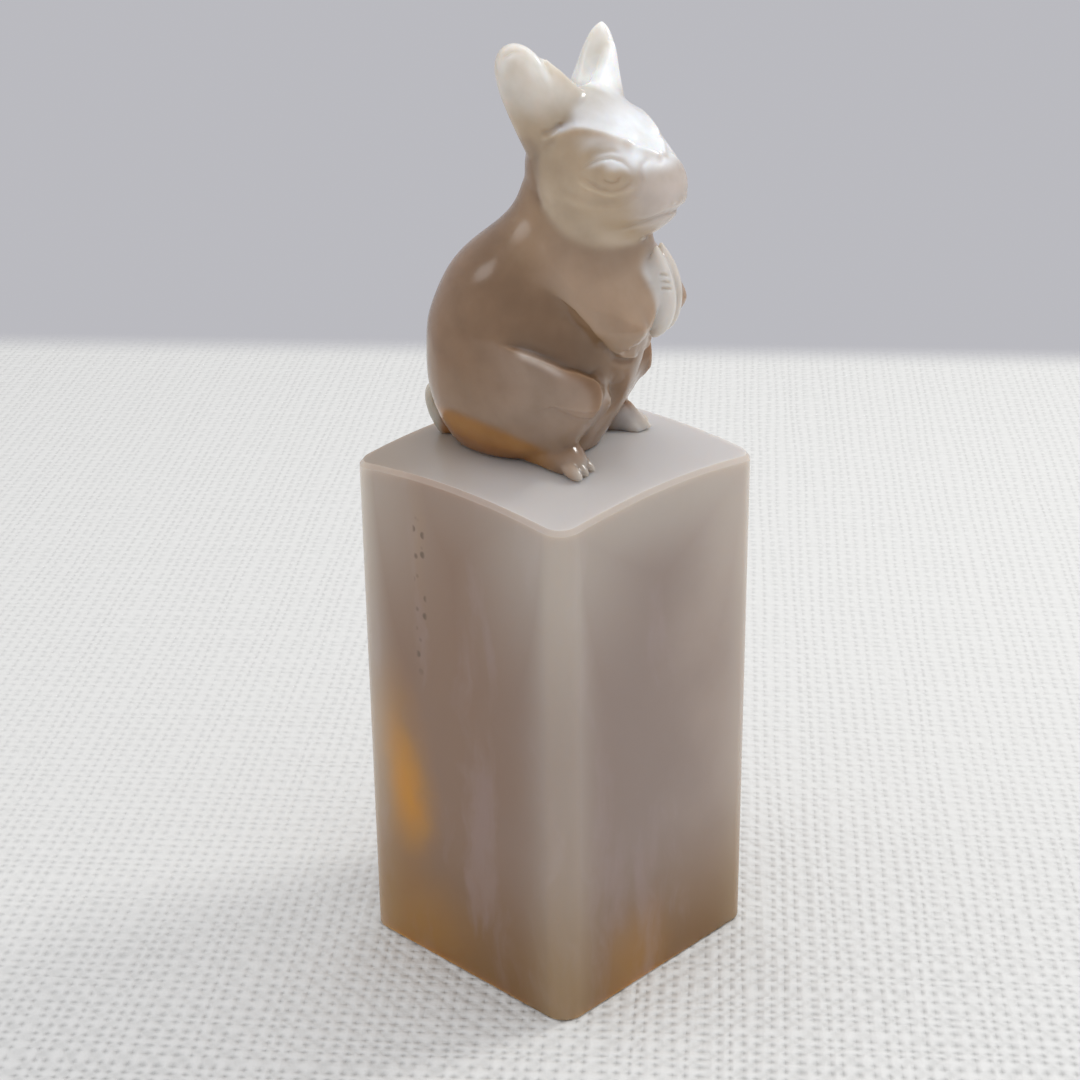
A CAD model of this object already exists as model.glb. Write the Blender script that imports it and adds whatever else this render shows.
from math import cos, radians, sin

import bmesh
import bpy
import numpy as np
from mathutils import Matrix, Vector
from mathutils.bvhtree import BVHTree


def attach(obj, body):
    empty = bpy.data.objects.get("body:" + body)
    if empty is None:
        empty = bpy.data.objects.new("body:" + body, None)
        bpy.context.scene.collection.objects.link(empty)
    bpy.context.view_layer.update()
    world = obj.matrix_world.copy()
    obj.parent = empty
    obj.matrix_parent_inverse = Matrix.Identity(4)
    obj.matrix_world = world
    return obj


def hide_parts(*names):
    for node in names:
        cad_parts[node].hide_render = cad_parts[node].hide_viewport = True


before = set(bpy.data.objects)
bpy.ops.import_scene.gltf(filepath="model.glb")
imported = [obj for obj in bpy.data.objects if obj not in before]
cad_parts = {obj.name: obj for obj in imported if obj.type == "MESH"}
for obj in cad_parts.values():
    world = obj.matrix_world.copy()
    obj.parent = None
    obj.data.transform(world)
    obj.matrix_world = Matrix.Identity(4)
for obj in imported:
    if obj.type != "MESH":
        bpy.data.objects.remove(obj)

scene = bpy.context.scene
scene.view_settings.view_transform = "Standard"
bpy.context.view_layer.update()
MM = 0.001

# Camera. It looks down on the front corner of the block from a hand's length
# away, a little to the side that the rabbit looks to. The lens is a long one,
# given as its focal length over the width of the frame.
camera_place = Vector((89.29, -93.66, 83.76)) * MM
camera_heading = -0.7692
camera_dip = 0.4083
camera_roll = -0.0123
lens_per_frame = 2240.77 / 1080
sensor_mm = 36.0

ahead = Vector((sin(camera_heading) * cos(camera_dip),
                cos(camera_heading) * cos(camera_dip), -sin(camera_dip)))
level = ahead.cross(Vector((0, 0, 1))).normalized()
upright = level.cross(ahead)
across = level * cos(camera_roll) + upright * sin(camera_roll)
upward = upright * cos(camera_roll) - level * sin(camera_roll)
facing_back = Matrix((across, upward, -ahead)).transposed().to_4x4()
camera = bpy.data.objects.new("camera", bpy.data.cameras.new("camera"))
camera.data.sensor_width = sensor_mm
camera.data.lens = sensor_mm * lens_per_frame
camera.data.clip_start = MM
camera.matrix_world = Matrix.Translation(camera_place) @ facing_back
scene.collection.objects.link(camera)
scene.camera = camera

# Table and backdrop. The seal stands on a square of coarse white linen in a
# plain weave, whose uneven threads leave dark gaps where four of them meet.
# Behind it is a plain lilac grey wall, which the world's colour gives.
table_half_side = 124 * MM
table_fray = 9 * MM
table_turn = radians(-5)
linen_pitch = 0.87 * MM
linen_colour = (0.745, 0.745, 0.72, 1)
thread_colour = (0.84, 0.84, 0.82, 1)
gap_colour = (0.36, 0.37, 0.36, 1)
weave_nearest, weave_farthest = -90.0, 35.0
thread_sway = 4.5
thread_lean = 0.07
slub_height, crossing_height, gap_height, fluff_height = 0.9, 0.6, -2.0, 1.3
thread_relief = 0.2 * MM
relief_strength = 0.5
cloth_roughness = 0.95
cloth_shine = 0.15
wall_colour = (0.492, 0.492, 0.525, 1)
sky_colour = (0.80, 0.80, 0.83, 1)


def plug(tree, socket, value):
    """Join a socket to another one, or set its value."""
    if isinstance(value, bpy.types.NodeSocket):
        tree.links.new(value, socket)
    else:
        socket.default_value = value


def add_node(tree, kind, values=(), **settings):
    """New node, with its inputs by number or name and its settings."""
    made = tree.nodes.new(kind)
    for setting, value in settings.items():
        setattr(made, setting, value)
    for key, value in dict(values).items():
        plug(tree, made.inputs[key], value)
    return made


def maths(tree, operation, first, second=0.0, third=0.0):
    """Sum, product or other operation on up to three values."""
    values = {0: first, 1: second, 2: third}
    return add_node(tree, "ShaderNodeMath", values, operation=operation).outputs[0]


def product(tree, first, *others):
    """Product of two values or more."""
    for other in others:
        first = maths(tree, "MULTIPLY", first, other)
    return first


def vector(tree, operation, first, second):
    """The same for two places or directions."""
    values = {0: first, 1: second}
    return add_node(tree, "ShaderNodeVectorMath", values, operation=operation).outputs[0]


def noise(tree, place, scale, detail):
    """Soft random pattern: its value, and its colour as a direction."""
    values = {"Vector": place, "Scale": scale, "Detail": detail}
    return add_node(tree, "ShaderNodeTexNoise", values).outputs


def span(tree, value, low, high):
    """Rise smoothly from 0 to 1 as a value goes from low to high."""
    values = {0: value, 1: low, 2: high, 3: 0.0, 4: 1.0}
    made = add_node(tree, "ShaderNodeMapRange", values, interpolation_type="SMOOTHSTEP")
    return made.outputs[0]


def blend(tree, share, first, second, blend_type="MIX"):
    """Colour that goes from the first to the second with the share."""
    made = add_node(tree, "ShaderNodeMix", data_type="RGBA", blend_type=blend_type)
    plug(tree, made.inputs[0], share)
    plug(tree, made.inputs[6], first)
    plug(tree, made.inputs[7], second)
    return made.outputs[2]


def new_material(name):
    """Material with its node tree and its one shader."""
    material = bpy.data.materials.new(name)
    material.use_nodes = True
    tree = material.node_tree
    shader = next(n for n in tree.nodes if n.type == "BSDF_PRINCIPLED")
    return material, tree, shader


def own_place(tree):
    """Place in the object's own frame, in millimetres, with its three parts."""
    place = add_node(tree, "ShaderNodeTexCoord").outputs["Object"]
    values = {0: place, 3: 1 / MM}
    scaled = add_node(tree, "ShaderNodeVectorMath", values, operation="SCALE").outputs[0]
    parts = add_node(tree, "ShaderNodeSeparateXYZ", {0: scaled}).outputs
    return scaled, parts[0], parts[1], parts[2]


def linen_material():
    """Cloth that fades to plain linen far off and frays out at its edges."""
    material, tree, shader = new_material("white_linen")
    place, x, y = own_place(tree)[:3]
    turn = np.pi / (linen_pitch / MM)
    waves, slubs = [], []
    for course, stretch in ((x, (1.0, thread_lean, 1.0)), (y, (thread_lean, 1.0, 1.0))):
        run = vector(tree, "MULTIPLY", place, stretch)
        sway = noise(tree, run, 0.45, 2.0)[0]
        straight = maths(tree, "MULTIPLY", course, turn)
        phase = maths(tree, "MULTIPLY_ADD", sway, thread_sway, straight)
        waves.append(maths(tree, "SINE", phase))
        slubs.append(noise(tree, run, 1.3, 2.0)[0])
    over = product(tree, waves[0], waves[1])
    between = [maths(tree, "SUBTRACT", 1.0, maths(tree, "ABSOLUTE", wave)) for wave in waves]
    height = maths(tree, "MULTIPLY_ADD", maths(tree, "ADD", slubs[0], slubs[1]), slub_height,
                   maths(tree, "MULTIPLY", over, crossing_height))
    height = maths(tree, "MULTIPLY_ADD", product(tree, *between), gap_height, height)
    fluff = noise(tree, place, 1.1, 3.0)[0]
    height = maths(tree, "MULTIPLY_ADD", fluff, fluff_height, height)
    relief = {"Strength": relief_strength, "Distance": thread_relief, "Height": height}
    plug(tree, shader.inputs["Normal"], add_node(tree, "ShaderNodeBump", relief).outputs[0])
    weave = blend(tree, span(tree, height, -0.3, 2.0), gap_colour, thread_colour)
    far_off = span(tree, y, weave_nearest, weave_farthest)
    plug(tree, shader.inputs["Base Color"], blend(tree, far_off, weave, linen_colour))
    shader.inputs["Roughness"].default_value = cloth_roughness
    shader.inputs["Specular IOR Level"].default_value = cloth_shine
    edge = maths(tree, "MAXIMUM", maths(tree, "ABSOLUTE", x), maths(tree, "ABSOLUTE", y))
    half = table_half_side / MM
    gone = span(tree, edge, half - table_fray / MM, half)
    clear = add_node(tree, "ShaderNodeBsdfTransparent").outputs[0]
    parts = {0: gone, 1: shader.outputs[0], 2: clear}
    mixed = add_node(tree, "ShaderNodeMixShader", parts).outputs[0]
    plug(tree, tree.nodes["Material Output"].inputs[0], mixed)
    return material


table = bpy.data.meshes.new("linen_table")
corners = [(-1, -1), (1, -1), (1, 1), (-1, 1)]
spots = [(table_half_side * x, table_half_side * y, 0) for x, y in corners]
table.from_pydata(spots, [], [(0, 1, 2, 3)])
linen = bpy.data.objects.new("linen_table", table)
linen.rotation_euler.z = -camera_heading + table_turn
table.materials.append(linen_material())
scene.collection.objects.link(linen)

world = bpy.data.worlds.new("wall")
scene.world = world
world.use_nodes = True
wall = world.node_tree
wall.nodes.clear()
rays = add_node(wall, "ShaderNodeLightPath").outputs
mirrored = maths(wall, "MAXIMUM", rays["Is Glossy Ray"], rays["Is Transmission Ray"])
seen = maths(wall, "MAXIMUM", rays["Is Camera Ray"], mirrored)
tone = blend(wall, seen, sky_colour, wall_colour)
glow = add_node(wall, "ShaderNodeBackground", {0: tone, 1: 1.0}).outputs[0]
plug(wall, add_node(wall, "ShaderNodeOutputWorld").inputs[0], glow)

# Lights. A small bright window stands behind and to the right of the seal, a
# dim one to its left, and a wide soft panel hangs over it. Each row has the
# place and the size in millimetres, the power in watts and the colour.
lights = {
    "window": ((66, 164, 196), (60, 36), 0.165, (1.0, 0.99, 0.97)),
    "left_window": ((-150, -125, 135), (64, 50), 0.017, (1.0, 1.0, 1.0)),
    "ceiling": ((10, 20, 260), (170, 170), 0.10, (0.97, 0.98, 1.0)),
}
lit_spot = Vector((0, 0, 35)) * MM
for name, (place, size, watts, colour) in lights.items():
    lamp = bpy.data.lights.new(name, "AREA")
    lamp.shape = "ELLIPSE"
    lamp.size, lamp.size_y = size[0] * MM, size[1] * MM
    lamp.energy = watts
    lamp.color = colour
    stand = bpy.data.objects.new(name, lamp)
    stand.location = Vector(place) * MM
    aim = lit_spot - stand.location
    stand.rotation_euler = aim.to_track_quat("-Z", "Y").to_euler()
    scene.collection.objects.link(stand)

# Block. It is sawn from banded agate, ground flat on its four sides, domed on
# top and polished to a satin gloss. Light passes through its thin edges, and
# clouds of amber and rust stand in it near the left corner.
block_half = 9.0
block_height = 34.6
block_roughness = 0.27
block_polish = 0.12
core_colour = (0.265, 0.165, 0.108, 1)
mauve_colour = (0.285, 0.215, 0.180, 1)
pale_colour = (0.42, 0.335, 0.28, 1)
edge_colour = (0.62, 0.57, 0.50, 1)
low_edge_colour = (0.52, 0.42, 0.27, 1)
amber_colour = (0.45, 0.215, 0.025, 1)
orange_colour = (0.60, 0.26, 0.005, 1)
rust_colour = (0.30, 0.17, 0.08, 1)
vein_colour = (0.40, 0.31, 0.32, 1)
pit_colour = (0.10, 0.065, 0.04, 1)
tan_colour = (0.215, 0.108, 0.030, 1)
top_colour = (0.57, 0.545, 0.525, 1)
top_warm_colour = (0.37, 0.305, 0.24, 1)
# Each cloud's centre, radii, strength and colour
stone_clouds = (
    ((-5.6, -9.0, 13.0), (3.6, 5.0, 9.0), 0.75, amber_colour),
    ((-5.0, -9.0, 12.0), (1.9, 4.0, 5.0), 0.7, orange_colour),
    ((-5.0, -9.0, 1.5), (8.0, 5.0, 5.5), 0.45, amber_colour),
    ((-3.0, -9.0, 29.5), (1.0, 2.0, 5.0), 0.45, rust_colour),
    ((9.0, -2.5, 1.5), (4.0, 4.0, 6.0), 0.4, amber_colour),
)
cloud_softness = 1.15
cloud_drift = 5.0
warmth_drift = 8.0
vein_strength = 0.25
pit_strength = 0.7
pit_row_x = -2.95
corner_glow_width = 5.5
upper_glow_width, upper_glow = 11.0, 0.55
top_band_depth, top_band_end = 7.5, 0.6
agate_ior = 1.54
glow_radius = (1.0, 0.82, 0.66)
glow_scale = 1.8 * MM
polish_relief = 0.03 * MM


def blotch(tree, place, centre, radii):
    """Soft cloud in the stone, 1 at its centre and 0 outside its radii."""
    share = vector(tree, "DIVIDE", vector(tree, "SUBTRACT", place, centre), radii)
    far = add_node(tree, "ShaderNodeVectorMath", {0: share}, operation="LENGTH").outputs[1]
    return span(tree, far, cloud_softness, 0.0)


def agate(tree, shader, roughness, polish):
    """Glow inside the stone and the polish on it, the same for block and rabbit."""
    shader.inputs["Roughness"].default_value = roughness
    shader.inputs["IOR"].default_value = agate_ior
    shader.inputs["Subsurface Weight"].default_value = 1.0
    shader.inputs["Subsurface Radius"].default_value = glow_radius
    shader.inputs["Subsurface Scale"].default_value = glow_scale
    ripple = noise(tree, own_place(tree)[0], 0.8, 5.0)[0]
    relief = {"Strength": polish, "Distance": polish_relief, "Height": ripple}
    plug(tree, shader.inputs["Normal"], add_node(tree, "ShaderNodeBump", relief).outputs[0])


def block_material():
    """Brown core that pales to the front right, with clouds, veins and pits."""
    material, tree, shader = new_material("agate_block")
    place, x, y, z = own_place(tree)
    cloud = noise(tree, place, 0.11, 4.0)
    shift = vector(tree, "SUBTRACT", cloud[1], (0.5, 0.5, 0.5))
    values = {0: shift, 3: cloud_drift}
    drift = add_node(tree, "ShaderNodeVectorMath", values, operation="SCALE").outputs[0]
    strayed = vector(tree, "ADD", place, drift)
    sideways = maths(tree, "ADD", x, maths(tree, "MULTIPLY", y, 0.8))
    warmth = maths(tree, "MULTIPLY_ADD", cloud[0], warmth_drift, sideways)
    colour = blend(tree, span(tree, warmth, -5.0, 12.0), core_colour, mauve_colour)
    colour = blend(tree, span(tree, warmth, 11.5, 21.0), colour, pale_colour)
    colour = blend(tree, span(tree, z, 12.0, 0.0), colour, tan_colour)
    for centre, radii, strength, tone in stone_clouds:
        spot = product(tree, blotch(tree, strayed, centre, radii), strength)
        colour = blend(tree, spot, colour, tone)
    drawn_out = vector(tree, "MULTIPLY", strayed, (1.0, 1.0, 0.22))
    wisp = noise(tree, drawn_out, 0.32, 4.0)[0]
    veins = product(tree, span(tree, wisp, 0.5, 0.72), vein_strength)
    colour = blend(tree, veins, colour, vein_colour)

    # Edges and top, which the light passes through
    inward_x = maths(tree, "SUBTRACT", block_half, maths(tree, "ABSOLUTE", x))
    inward_y = maths(tree, "SUBTRACT", block_half, maths(tree, "ABSOLUTE", y))
    corner = maths(tree, "ADD", inward_x, inward_y)
    rising = maths(tree, "MULTIPLY_ADD", span(tree, z, 18.0, 33.0), 0.4, 0.4)
    left_part = product(tree, span(tree, x, 0.0, -8.0), span(tree, z, 3.0, 12.0))
    leftward = maths(tree, "MULTIPLY_ADD", left_part, 0.3, rising)
    lit = span(tree, corner, corner_glow_width, 0.0)
    thin = product(tree, lit, lit, leftward)
    upper = product(tree, span(tree, z, 20.0, 34.0), span(tree, corner, upper_glow_width, 0.0))
    thin = maths(tree, "MAXIMUM", thin, product(tree, upper, upper_glow))
    top_glow = maths(tree, "MULTIPLY_ADD", span(tree, x, 0.0, 9.0), 0.35, 0.2)
    under_top = span(tree, z, block_height - top_band_depth, block_height - top_band_end)
    edge_tone = blend(tree, span(tree, z, 16.0, 2.0), edge_colour, low_edge_colour)
    pale = maths(tree, "MAXIMUM", thin, product(tree, under_top, top_glow))
    colour = blend(tree, pale, colour, edge_tone)
    normal = add_node(tree, "ShaderNodeNewGeometry").outputs["Normal"]
    skyward = add_node(tree, "ShaderNodeSeparateXYZ", {0: normal}).outputs[2]
    front = maths(tree, "MULTIPLY_ADD", y, 0.3, x)
    crown_tone = blend(tree, span(tree, front, -10.0, 2.0), top_warm_colour, top_colour)
    colour = blend(tree, span(tree, skyward, 0.5, 0.95), colour, crown_tone)

    # Row of small pits down the left face
    cells = {"Vector": place, "Scale": 1.1, "Randomness": 0.9}
    cells = add_node(tree, "ShaderNodeTexVoronoi", cells).outputs["Distance"]
    off_row = maths(tree, "ABSOLUTE", maths(tree, "SUBTRACT", x, pit_row_x))
    run = product(tree, span(tree, z, 20.0, 22.0), span(tree, z, 32.6, 31.8))
    row = product(tree, span(tree, off_row, 0.6, 0.3), run, span(tree, y, -8.0, -8.9))
    pitted = product(tree, row, span(tree, cells, 0.34, 0.16), pit_strength)
    plug(tree, shader.inputs["Base Color"], blend(tree, pitted, colour, pit_colour))
    agate(tree, shader, block_roughness, block_polish)
    return material


seal_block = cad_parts["seal_block"]
seal_block.data.materials.clear()
seal_block.data.materials.append(block_material())
for face in seal_block.data.polygons:
    face.material_index = 0
    face.use_smooth = True

# Rabbit. It is carved in the round from the top of the same stone, so one skin
# covers all its forms. Its places are in millimetres from the middle of the
# block's top, with x to the rabbit's front.
rabbit_turn = radians(20)
head_turn = radians(-12)
head_middle = np.array((3.596, 0.0, 17.3))
turn_in = np.array(((cos(head_turn), sin(head_turn), 0),
                    (-sin(head_turn), cos(head_turn), 0), (0, 0, 1)))
skin_grain = 0.085
# Web of stone between ear and crown: places in its middle, and half its thickness
ear_web = (((-2.15, -3.45, 6.7), 0.25), ((-1.45, -0.8, 4.5), 0.5),
           ((-1.8, -3.5, 3.2), 0.7), ((-1.5, -1.2, 3.2), 0.9))
far_instep = ((2.9, 4.3, 1.9), (2.5, 3.3, 1.7), (4.78, 4.77, -0.25),
              (4.3, 3.43, -0.25), (3.19, 3.17, -0.25), (3.0, 5.0, -0.25))

to_rabbit = (Matrix.Rotation(-rabbit_turn, 4, "Z")
             @ Matrix.Translation((0, 0, -block_height)) @ Matrix.Scale(1 / MM, 4))
rabbit_forms = [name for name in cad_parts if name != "seal_block"]
rough = bmesh.new()
for name in rabbit_forms:
    rough.from_mesh(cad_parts[name].data)
rough.transform(to_rabbit)


def fill_out(points):
    """Add the tightest closed form round some points to the rough stone."""
    bmesh.ops.convex_hull(rough, input=[rough.verts.new(point) for point in points])


for side in (-1, 1):
    fill_out([head_middle + np.array((px + reach * half, -side * py, pz)) @ turn_in
              for (px, py, pz), half in ear_web for reach in (-1, 1)])
fill_out(far_instep)
fill_out([to_rabbit @ point.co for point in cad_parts["left_ear"].data.vertices])

rough_mesh = bpy.data.meshes.new("rabbit_rough")
rough.to_mesh(rough_mesh)
rough.free()
blank = bpy.data.objects.new("rabbit_rough", rough_mesh)
scene.collection.objects.link(blank)
remesh = blank.modifiers.new("skin", "REMESH")
remesh.mode = "VOXEL"
remesh.voxel_size = skin_grain
bpy.context.view_layer.update()
evaluated = blank.evaluated_get(bpy.context.evaluated_depsgraph_get())
rabbit_mesh = bpy.data.meshes.new_from_object(evaluated)
rabbit_mesh.name = "rabbit"
bpy.data.objects.remove(blank)

count = len(rabbit_mesh.vertices)
skin = np.empty(count * 3)
rabbit_mesh.vertices.foreach_get("co", skin)
skin = skin.reshape(-1, 3)
links = np.empty(len(rabbit_mesh.edges) * 2, int)
rabbit_mesh.edges.foreach_get("vertices", links)
links = links.reshape(-1, 2)
link_count = np.bincount(links.ravel(), minlength=count)

# Joins. Where two carved forms meet, the carver rubs the stone until they flow
# into each other. The ears, the paws, the toes, the tail and the edge of the
# jaw are left crisp.
jaw_line = ((-2.9, -3.5, -0.6), (-2.85, -3.4, -1.41), (-2.37, -3.51, -1.96),
            (-1.31, -3.52, -2.74), (-0.04, -3.23, -3.38), (1.27, -2.38, -3.79),
            (2.23, -0.71, -3.89), (3.31, 0.0, -3.23))
least_share = 0.002


def outward():
    """Direction that the skin faces at each point."""
    rabbit_mesh.vertices.foreach_set("co", skin.ravel())
    rabbit_mesh.update()
    directions = np.empty(count * 3)
    rabbit_mesh.vertex_normals.foreach_get("vector", directions)
    return directions.reshape(-1, 3)


def rub(share, turns, hollows_only=False):
    """Rub the skin smooth by a share at each place, or only fill its hollows."""
    chosen = np.flatnonzero(share > least_share)
    rank = np.full(count, -1)
    rank[chosen] = np.arange(len(chosen))
    both_ways = np.vstack((links, links[:, ::-1]))
    both_ways = both_ways[rank[both_ways[:, 0]] >= 0]
    point, other = rank[both_ways[:, 0]], both_ways[:, 1]
    directions, strength = outward()[chosen], share[chosen, None]
    for turn in range(turns):
        sums = [np.bincount(point, skin[other, k], len(chosen)) for k in range(3)]
        step = np.column_stack(sums) / link_count[chosen, None] - skin[chosen]
        if hollows_only:
            rise = np.einsum("ij,ij->i", step, directions)
            step = directions * rise.clip(0)[:, None]
        skin[chosen] += strength * step


def ramp(value, start, end):
    """Smooth rise from 0 at the start to 1 at the end, upward or downward."""
    share = np.clip((value - start) / (end - start), 0, 1)
    return share * share * (3 - 2 * share)


def nearest_on(line, places):
    """Gap to a line of points, how far along it, and on which side of it."""
    line = np.array(line, float)
    gap = np.full(len(places), 1e9)
    along = np.zeros(len(places))
    hand = np.ones(len(places))
    for rank in range(len(line) - 1):
        start, run = line[rank], line[rank + 1] - line[rank]
        share = np.clip((places - start) @ run / (run @ run), 0, 1)
        away = places - start - share[:, None] * run
        distance = np.linalg.norm(away, axis=1)
        closer = distance < gap
        gap[closer] = distance[closer]
        along[closer] = (rank + share[closer]) / (len(line) - 1)
        if line.shape[1] == 2:
            hand[closer] = np.sign(run[0] * away[closer, 1] - run[1] * away[closer, 0])
    return gap, along, hand


def near(line, places, far, close):
    """1 within the close gap of a line, 0 beyond the far one."""
    return ramp(nearest_on(line, places)[0], far, close)


def on_head():
    """The skin's places seen from the middle of the head."""
    return (skin - head_middle) @ turn_in.T


def both_sides(line):
    """A line on the near side and its mirror on the far side."""
    return [line, [(x, -y, z) for x, y, z in line]]


x, y, z = skin.T
crisp_ears = ramp(z, 20.3, 21.5)
crisp_paws = ramp(x, 6.0, 6.6) * ramp(z, 6.5, 7.2) * ramp(z, 13.8, 13.0)
crisp_toes = ramp(z, 2.4, 1.8) * ramp(x, 1.6, 2.4)
crisp_tail = ramp(x, -6.8, -7.4)
crisp_jaw = [near(line, on_head(), 0.9, 0.3) for line in both_sides(jaw_line)]
crisp = np.maximum.reduce([crisp_ears, crisp_paws, crisp_toes, crisp_tail, *crisp_jaw])
rub(0.5 * (1 - 0.85 * crisp), turns=40)

# Body. The upper arm lies flush with the chest, and only its lower edge and the
# haunch's upper edge stand out as ledges, cut into the same stone. The two edges
# are given from the side, as x and z.
arm_crease = ((-0.6, -4.4, 14.3), (0.3, -4.4, 14.3), (1.6, -4.4, 14.0), (3.2, -4.2, 13.2),
              (4.6, -3.4, 12.4), (5.6, -2.4, 11.8))
shoulder_crease = ((0.2, -4.8, 14.0), (0.2, -4.9, 12.6), (1.0, -4.9, 11.4))
chest_hollow = ((2.8, -3.2, 13.9), (3.6, -3.0, 13.5), (4.4, -2.9, 12.9), (5.1, -2.6, 12.3),
                (5.7, -2.2, 11.8), (6.2, -1.7, 11.4))
arm_ridge = ((2.8, -4.4, 14.0), (4.0, -4.3, 13.2), (4.92, -4.16, 12.39),
             (5.41, -4.0, 11.87), (5.9, -3.4, 11.3), (6.3, -2.8, 10.7))
arm_edge = ((1.40, 11.02), (2.39, 10.67), (3.5, 10.1), (4.3, 9.3), (4.9, 8.3), (5.1, 7.3),
            (5.2, 6.6), (5.6, 6.2), (6.2, 6.5))
haunch_edge = ((-1.2, 7.6), (-0.4, 7.55), (0.25, 7.42), (0.86, 7.28), (1.50, 7.07),
               (2.17, 6.78), (2.77, 6.46), (3.43, 6.25), (4.04, 5.84), (4.45, 5.2),
               (4.58, 4.5), (4.52, 3.8), (4.3, 3.2), (3.87, 2.65))
knee = ((4.6, -3.0, 5.2), (4.5, -2.8, 4.2), (4.2, -2.8, 3.2))
haunch_lift, haunch_width = 0.62, 1.45
trim_depth, trim_gain, trim_width = 0.12, 0.3, 0.6
arm_lift, arm_width = 0.18, 1.6
undercut, undercut_width = 0.2, 0.35


def bell(gap, width):
    """1 where the gap is 0, falling off over a width."""
    return np.exp(-(gap / width) ** 2)


for line in (arm_crease, shoulder_crease):
    for course in both_sides(line):
        close_by = near(course, skin, 2.6, 1.3)
        rub(0.95 * close_by, turns=300, hollows_only=True)
        rub(0.6 * close_by, turns=160)
for hollow, ridge in zip(both_sides(chest_hollow), both_sides(arm_ridge)):
    rub(0.95 * near(hollow, skin, 2.3, 1.3), turns=700, hollows_only=True)
    rub(0.65 * near(ridge, skin, 1.9, 0.9), turns=420)
    rub(0.95 * near(hollow, skin, 2.3, 1.3), turns=200, hollows_only=True)

places = on_head()
cheeks = ramp(places[:, 0], 0.2, 0.9) * ramp(abs(places[:, 2] + 2.4), 1.1, 0.7)
rub(0.9 * cheeks, turns=220, hollows_only=True)
rub(0.5 * cheeks, turns=20)
far_ear_front = ramp(skin[:, 2], 20.2, 20.8) * ramp(skin[:, 1], 0.3, 0.9)
rub(0.5 * far_ear_front, turns=25)
ear_roots = ramp(skin[:, 2], 20.4, 20.8) * ramp(skin[:, 2], 23.2, 22.2)
rub(0.95 * ear_roots, turns=300, hollows_only=True)
rub(0.5 * ear_roots, turns=40)

x, y, z = skin.T
toes = ramp(x, 2.0, 2.6) * ramp(z, 1.9, 1.4)
haunch_share = (0.6 * ramp(z, 0.9, 1.5) * ramp(z, 9.0, 7.8) * ramp(abs(y), 1.8, 2.8)
                * ramp(x, -6.0, -4.8) * (1 - toes))
rub(haunch_share, turns=480)

for side in (-1, 1):
    facing = outward()
    flank = ramp(side * facing[:, 1], 0.0, 0.35) * ramp(side * skin[:, 1], 0.3, 1.2)
    gap, along, hand = nearest_on(haunch_edge, skin[:, (0, 2)])
    inside = ramp(-hand * gap, -0.1, 0.14)
    reach = ramp(skin[:, 0], -1.4, 1.0)
    lift = haunch_lift * reach * ramp(1 - along, 0, 0.2) * inside * bell(gap, haunch_width)
    trim = (trim_depth + trim_gain * ramp(along, 0.5, 0.75)) * reach * ramp(1 - along, 0, 0.2)
    lift -= trim * (1 - inside) * bell(gap, trim_width)
    gap, along, hand = nearest_on(arm_edge, skin[:, (0, 2)])
    inside = ramp(hand * gap, -0.1, 0.14)
    lift += (arm_lift * ramp(along, 0, 0.3) * ramp(1 - along, 0, 0.1) * inside
             * bell(gap, arm_width))
    under = undercut * ramp(along, 0.2, 0.7) * (1 - inside) * bell(gap, undercut_width)
    skin = skin + facing * (flank * (lift - under))[:, None]
for course in both_sides(knee):
    rub(0.6 * near(course, skin, 1.2, 0.5), turns=160)

# Ears. They stand up thin from the crown, out of the same stone, each with a
# lip round its root. The near one has a bevelled rim, and the far one, seen from
# its front, a fold beside a shallow recess.
ear_lip = ((-0.99, -3.10, 2.75), (-1.41, -3.31, 2.48), (-1.90, -3.60, 2.2),
           (-2.3, -3.7, 2.05))
ear_groove = ((-0.99, -3.10, 3.1), (-1.41, -3.31, 2.85), (-1.90, -3.60, 2.6),
              (-2.3, -3.7, 2.45))
ear_rim = ((-4.35, -4.6, 6.3), (-4.1, -4.5, 6.75), (-3.75, -4.5, 7.0), (-3.36, -4.4, 7.12),
           (-2.95, -4.3, 7.02), (-2.55, -4.2, 6.72), (-2.15, -4.15, 6.2),
           (-1.85, -4.0, 5.55), (-1.7, -3.75, 4.8))
ear_fold = ((1.2, 3.6, 23.8), (1.2, 3.4, 23.1), (1.3, 3.1, 22.3), (1.7, 2.8, 21.5))
ear_recess = ((1.9, 2.9, 21.7), (2.3, 2.9, 21.5), (2.7, 2.9, 21.45))

# Face. Two flat cuts meet in a brow ridge over each eye. The eye is an almond
# with a lid line round it and a swollen lower lid, all cut with a fine burr and
# polished. The lines are on the near side, seen from the middle of the head.
brow = ((-1.9, -3.62, 2.2), (-1.10, -3.34, 2.44), (-0.27, -2.95, 2.81), (0.43, -2.57, 2.72),
        (1.08, -2.21, 2.55), (1.62, -1.90, 2.33), (2.14, -1.56, 2.10), (2.71, -1.19, 1.82))
bridge = ((2.14, -1.56, 2.10), (2.71, -1.19, 1.82), (2.99, -0.99, 1.64),
          (3.23, -0.63, 1.49), (3.50, -0.32, 1.29), (3.74, -0.06, 1.09))
upper_lid = ((0.51, -3.78, 0.62), (0.96, -3.53, 1.03), (1.47, -3.19, 1.31),
             (1.99, -2.74, 1.41), (2.53, -2.44, 1.24), (3.02, -2.35, 0.89),
             (3.19, -2.30, 0.44))
lower_lid = ((3.19, -2.30, 0.44), (3.24, -2.68, 0.07), (2.91, -3.00, -0.25),
             (2.37, -3.31, -0.38), (1.73, -3.57, -0.24), (1.09, -3.74, 0.11),
             (0.51, -3.78, 0.62))
upper_crease = ((0.89, -3.44, 1.29), (1.31, -3.06, 1.61), (1.88, -2.48, 1.68),
                (2.48, -2.16, 1.47))
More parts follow.
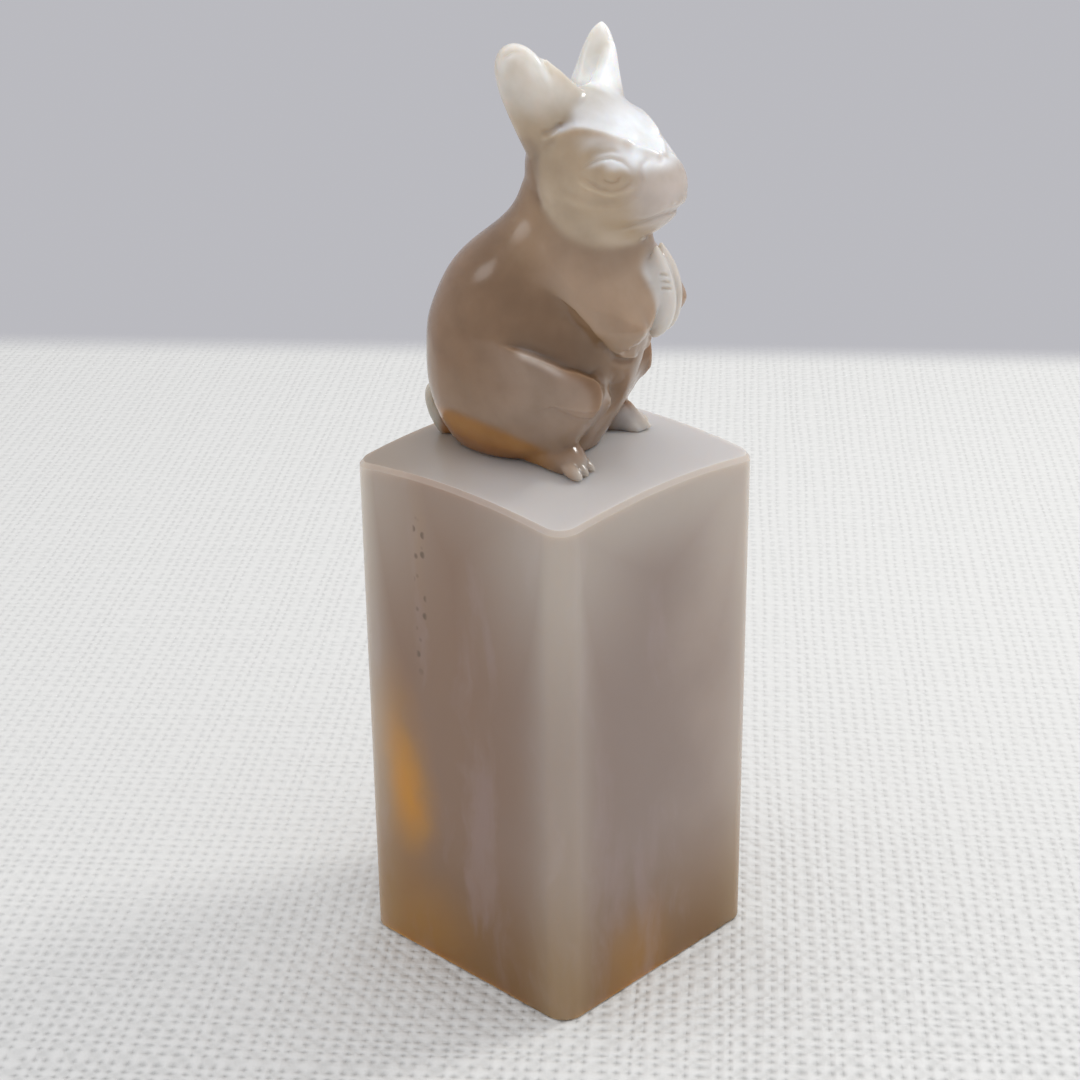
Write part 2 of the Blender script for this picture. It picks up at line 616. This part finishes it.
lower_ring = ((0.17, -3.89, 0.30), (0.62, -3.85, -0.04), (1.21, -3.72, -0.34),
              (1.76, -3.51, -0.53), (2.40, -3.25, -0.61), (3.02, -2.96, -0.47),
              (3.46, -2.61, -0.20), (3.63, -2.35, 0.06))
cheek_hollow = ((-1.36, -3.80, 0.01), (-0.61, -3.88, -0.45), (0.23, -3.79, -0.81),
                (1.04, -3.67, -1.01), (1.81, -3.39, -1.13), (2.69, -3.06, -1.13),
                (3.37, -2.66, -0.95))
muzzle_line = ((3.63, -0.71, 1.09), (3.43, -1.25, 1.18), (3.40, -1.71, 0.93),
               (3.54, -2.01, 0.60), (3.70, -2.15, 0.20), (3.83, -2.24, -0.17))
mouth_line = ((4.66, 0.0, -1.95), (4.5, -0.5, -2.1), (4.28, -0.9, -2.24),
              (4.00, -1.3, -2.37), (3.69, -1.59, -2.45), (3.13, -1.9, -2.54))
lip = ((4.59, -0.80, -1.52), (4.38, -1.30, -1.73), (4.09, -1.68, -1.92),
       (3.73, -1.97, -2.08), (3.35, -2.22, -2.15))
neck_fold = ((-2.96, -3.61, 1.67), (-2.82, -3.33, 0.77), (-2.80, -3.38, -0.39),
             (-2.85, -3.33, -1.41))
whisker_pad = ((4.40, -1.2, -1.3), (4.5, -1.1, -1.3))
nose_bead = ((4.76, -0.42, -1.42), (4.78, -0.38, -1.42))
eye_middle = np.array((2.28, -3.16, 0.63))
eye_ring = [eye_middle + (0.47 * cos(a), 0.27 * cos(a), 0.55 * sin(a))
            for a in np.linspace(0, 2 * np.pi, 17)]
eye_bead = (eye_middle - (0.05, 0.03, 0), eye_middle + (0.05, 0.03, 0))
# Each line's height, width, crispness, and the shares over which its ends fade
head_strokes = (
    (brow, 0.26, 0.5, 1, (0.15, 0.15)),
    (bridge, 0.15, 0.28, 0.6, (0.3, 0.2)),
    (nose_bead, 0.09, 0.17, 0, None),
    (upper_crease, -0.04, 0.12, 0, (0.3, 0.3)),
    (upper_lid, -0.10, 0.10, 0, (0.3, 0.3)),
    (lower_lid, -0.09, 0.10, 0, (0.3, 0.3)),
    (eye_ring, -0.07, 0.09, 0, None),
    (eye_bead, 0.07, 0.42, 0, None),
    (lower_ring, 0.13, 0.17, 0.6, (0.25, 0.25)),
    (cheek_hollow, -0.07, 0.3, 0, (0.3, 0.3)),
    (muzzle_line, -0.06, 0.16, 0, (0.3, 0.3)),
    (mouth_line, -0.14, 0.10, 0.5, (0.01, 0.5)),
    (lip, 0.06, 0.20, 0, (0.3, 0.3)),
    (neck_fold, -0.05, 0.35, 0, (0.3, 0.3)),
    (jaw_line, -0.10, 0.28, 0.3, (0.2, 0.2)),
    (ear_lip, 0.12, 0.20, 0, (0.2, 0.3)),
    (ear_groove, -0.12, 0.20, 0, (0.2, 0.3)),
    (ear_rim, -0.22, 0.17, 0, (0.2, 0.2)),
    (whisker_pad, 0.06, 0.30, 0, None),
)
far_ear_strokes = (
    (ear_fold, -0.16, 0.3, 0, (0.4, 0.4)),
    (ear_recess, -0.12, 0.25, 0, (0.3, 0.3)),
)


def carve(strokes, places, directions, allowed):
    """Ridges, and grooves where the height is below 0, along lines on the skin."""
    global skin
    relief = np.zeros(count)
    for line, height, width, crispness, ends in strokes:
        gap, along = nearest_on(line, places)[:2]
        profile = np.exp(-(gap / width) ** (2 - crispness))
        fade = 1.0
        if ends:
            fade = ramp(along, -1e-6, ends[0]) * ramp(1 - along, -1e-6, ends[1])
        relief += height * profile * fade
    skin = skin + directions * (allowed * relief)[:, None]


for course in both_sides(eye_bead):
    rub(0.6 * near(course, on_head(), 2.0, 1.2), turns=300)
for side in (-1, 1):
    facing = outward()
    places = on_head() * (1, -side, 1)
    carve(head_strokes, places, facing, ramp(places[:, 1], 0.15, -0.05))
on_far_ear = ramp(skin[:, 2], 20.6, 21.2) * ramp(skin[:, 1], 0.5, 1.0)
carve(far_ear_strokes, skin, outward(), on_far_ear)

# Forepaws and tail. The pressed paws have three notches in front, cut with a
# thin wheel, and a round wrist beside them. The tail is folded once.
wrist = ((6.25, -1.50, 11.25), (6.30, -1.50, 11.28))
wrist_ring = ((5.82, -1.76, 11.53), (6.11, -1.09, 11.88), (6.69, -1.12, 11.44),
              (6.83, -1.48, 11.08), (6.28, -2.46, 10.81), (5.92, -2.01, 11.07),
              (5.82, -1.76, 11.53))
notches = (((7.30, -1.05, 11.62), (7.62, -0.80, 11.52)),
           ((7.42, -1.2, 11.22), (7.78, -0.85, 11.12)),
           ((7.50, -1.2, 10.82), (7.85, -0.85, 10.72)))
notch_depth, notch_width = 0.2, 0.10
tail_fold = ((-8.0, -0.7, 2.0), (-7.3, -1.0, 0.9), (-6.9, -1.1, 0.2))
body_strokes = [
    (tail_fold, -0.16, 0.16, 0, (0.2, 0.2)),
    (wrist, 0.08, 0.35, 0, None),
    (wrist_ring, -0.06, 0.12, 0, None),
]
body_strokes += [(line, -notch_depth, notch_width, 0, None) for line in notches]
carve(body_strokes, skin, outward(), ramp(skin[:, 1], -0.1, -0.3))

# Stone's colour. The layers of the agate pale upward, from a band of amber under
# the rump and a brown body to nearly white ears. Thin places pass light, so they
# are paler too. The whole is polished to a high gloss.
glow_depth = 3.2
ray_start = 0.02
least_depth = 0.1
rabbit_roughness = 0.18
rabbit_polish = 0.06


def neighbour_mean(values):
    """Mean of each point's neighbours, for a value or for a place."""
    columns = values.reshape(count, -1)
    total = np.empty_like(columns)
    for k in range(columns.shape[1]):
        total[:, k] = np.bincount(links[:, 0], columns[links[:, 1], k], count)
        total[:, k] += np.bincount(links[:, 1], columns[links[:, 0], k], count)
    return (total / link_count[:, None]).reshape(values.shape)


facing = outward()
faces = [tuple(face.vertices) for face in rabbit_mesh.polygons]
stone_faces = BVHTree.FromPolygons([tuple(point) for point in skin], faces)
thin = np.empty(count)
for k in range(count):
    inward = Vector(-facing[k])
    depth = stone_faces.ray_cast(Vector(skin[k]) + inward * ray_start, inward)[3]
    thin[k] = np.exp(-(depth if depth is not None else least_depth) / glow_depth)
for turn in range(25):
    thin = neighbour_mean(thin)

x, y, z = skin.T
places = on_head()
head_x, head_z = places[:, 0], places[:, 2]
skyward = facing[:, 2]
jaw_height = np.interp(head_x, (-3.6, -2.9, -2.37, -1.31, -0.04, 1.27, 2.23, 3.31),
                       (2.0, -0.4, -1.96, -2.74, -3.38, -3.79, -3.89, -3.6))
head = ramp(head_z - jaw_height, -0.35, 0.3)
muzzle = head * ramp(head_x, 2.6, 4.2)
crown = head * ramp(skyward, 0.35, 0.75) * ramp(head_z, 0.2, 1.2)
forehead = crown * ramp(head_x, -0.5, 2.0)
jaw = np.maximum.reduce([near(line, places, 1.6, 0.2) * ramp(head_x, -2.5, -0.5)
                         for line in both_sides(jaw_line)])
neck = np.maximum.reduce([near(line, places, 0.8, 0.1) for line in both_sides(neck_fold)])
ears = ramp(head_z, 2.6, 5.2)
near_ear_rim = 0.8 * near(ear_rim, places, 0.75, 0.3) * ramp(head_z, 5.0, 6.2)
near_ear_rim *= ramp(y, -0.5, -1.0)
far_ear = ramp(head_z, 3.4, 4.8) * ramp(y, 0.0, 1.0)

gap, along, hand = nearest_on(haunch_edge, skin[:, (0, 2)])
haunch = (ramp(-hand * gap, -0.05, 0.3) * ramp(x, -4.5, 2.5) * ramp(z, 0.8, 2.5)
          * ramp(abs(y), 1.0, 2.5))
haunch_rim = (bell(-hand * gap - 0.12, 0.13) * ramp(along, 0.1, 0.2)
              * ramp(along, 0.55, 0.4) * ramp(abs(y), 2.5, 3.5))
gap, along, hand = nearest_on(arm_edge, skin[:, (0, 2)])
arm = ramp(hand * gap, -0.05, 0.3) * ramp(x, 0.0, 3.0) * ramp(z, 5.5, 7.5) * (1 - head)
shoulder = ramp(z, 10.0, 14.5) * ramp(x, -3.5, 0.5)
amber_line = np.interp(x, (-6.0, -2.95, -0.81, 1.26, 3.0), (2.68, 2.76, 2.36, 1.55, 0.6))
amber = ramp(amber_line - z, -0.1, 0.5) * ramp(x, 2.5, 0.5)
deep_amber = 0.8 * ramp(amber_line - z, 0.9, 2.2) * ramp(x, 2.0, 0.0)
paws = ramp(x, 6.0, 6.6) * ramp(z, 6.8, 7.4) * ramp(z, 13.4, 12.8) * ramp(abs(y), 2.0, 1.5)
feet = ramp(z, 1.5, 0.9) * ramp(x, 2.2, 3.2) * np.where(y > 0, 1.0, ramp(x, 3.4, 4.0))
tail = ramp(x, -7.1, -7.6)

body_colour = (0.245, 0.150, 0.084)
stains = (
    ((0.32, 0.212, 0.125), shoulder),
    ((0.33, 0.24, 0.175), haunch),
    ((0.75, 0.70, 0.66), 0.8 * haunch_rim),
    ((0.35, 0.25, 0.17), arm),
    ((0.33, 0.16, 0.045), amber),
    ((0.22, 0.085, 0.015), deep_amber),
    ((0.46, 0.36, 0.25), head),
    ((0.58, 0.47, 0.35), 0.8 * jaw * head),
    ((0.50, 0.44, 0.39), muzzle),
    ((0.64, 0.64, 0.65), crown),
    ((0.84, 0.87, 0.89), forehead),
    ((0.25, 0.165, 0.105), 0.5 * neck),
    ((0.60, 0.57, 0.51), ears),
    ((0.80, 0.80, 0.78), near_ear_rim),
    ((0.82, 0.84, 0.83), far_ear),
    ((0.56, 0.53, 0.49), paws),
    ((0.31, 0.28, 0.26), feet),
    ((0.36, 0.34, 0.29), tail),
    ((0.64, 0.59, 0.52), 0.55 * ramp(thin, 0.4, 0.95)),
)
tint = np.empty((count, 3))
tint[:] = body_colour
for colour, share in stains:
    tint += share[:, None] * (np.array(colour) - tint)
for turn in range(6):
    tint = neighbour_mean(tint)
opaque = np.column_stack((tint, np.ones(count))).astype(np.float32)
stone = rabbit_mesh.attributes.new("stone", "FLOAT_COLOR", "POINT")
stone.data.foreach_set("color", opaque.ravel())

rabbit_mesh.transform(to_rabbit.inverted())
rabbit_mesh.shade_smooth()


def rabbit_material():
    """The painted tones of the stone, slightly mottled, under a higher polish."""
    material, tree, shader = new_material("agate_rabbit")
    cloud = noise(tree, own_place(tree)[0], 0.25, 4.0)[0]
    tones = add_node(tree, "ShaderNodeAttribute", attribute_name="stone").outputs["Color"]
    mottle = blend(tree, span(tree, cloud, 0.3, 0.7), (0.86, 0.84, 0.81, 1),
                   (1.12, 1.13, 1.15, 1))
    plug(tree, shader.inputs["Base Color"], blend(tree, 1.0, tones, mottle, "MULTIPLY"))
    agate(tree, shader, rabbit_roughness, rabbit_polish)
    return material


rabbit_mesh.materials.clear()
rabbit_mesh.materials.append(rabbit_material())
rabbit = bpy.data.objects.new("carved_rabbit", rabbit_mesh)
scene.collection.objects.link(rabbit)
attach(rabbit, "root")
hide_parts(*rabbit_forms)
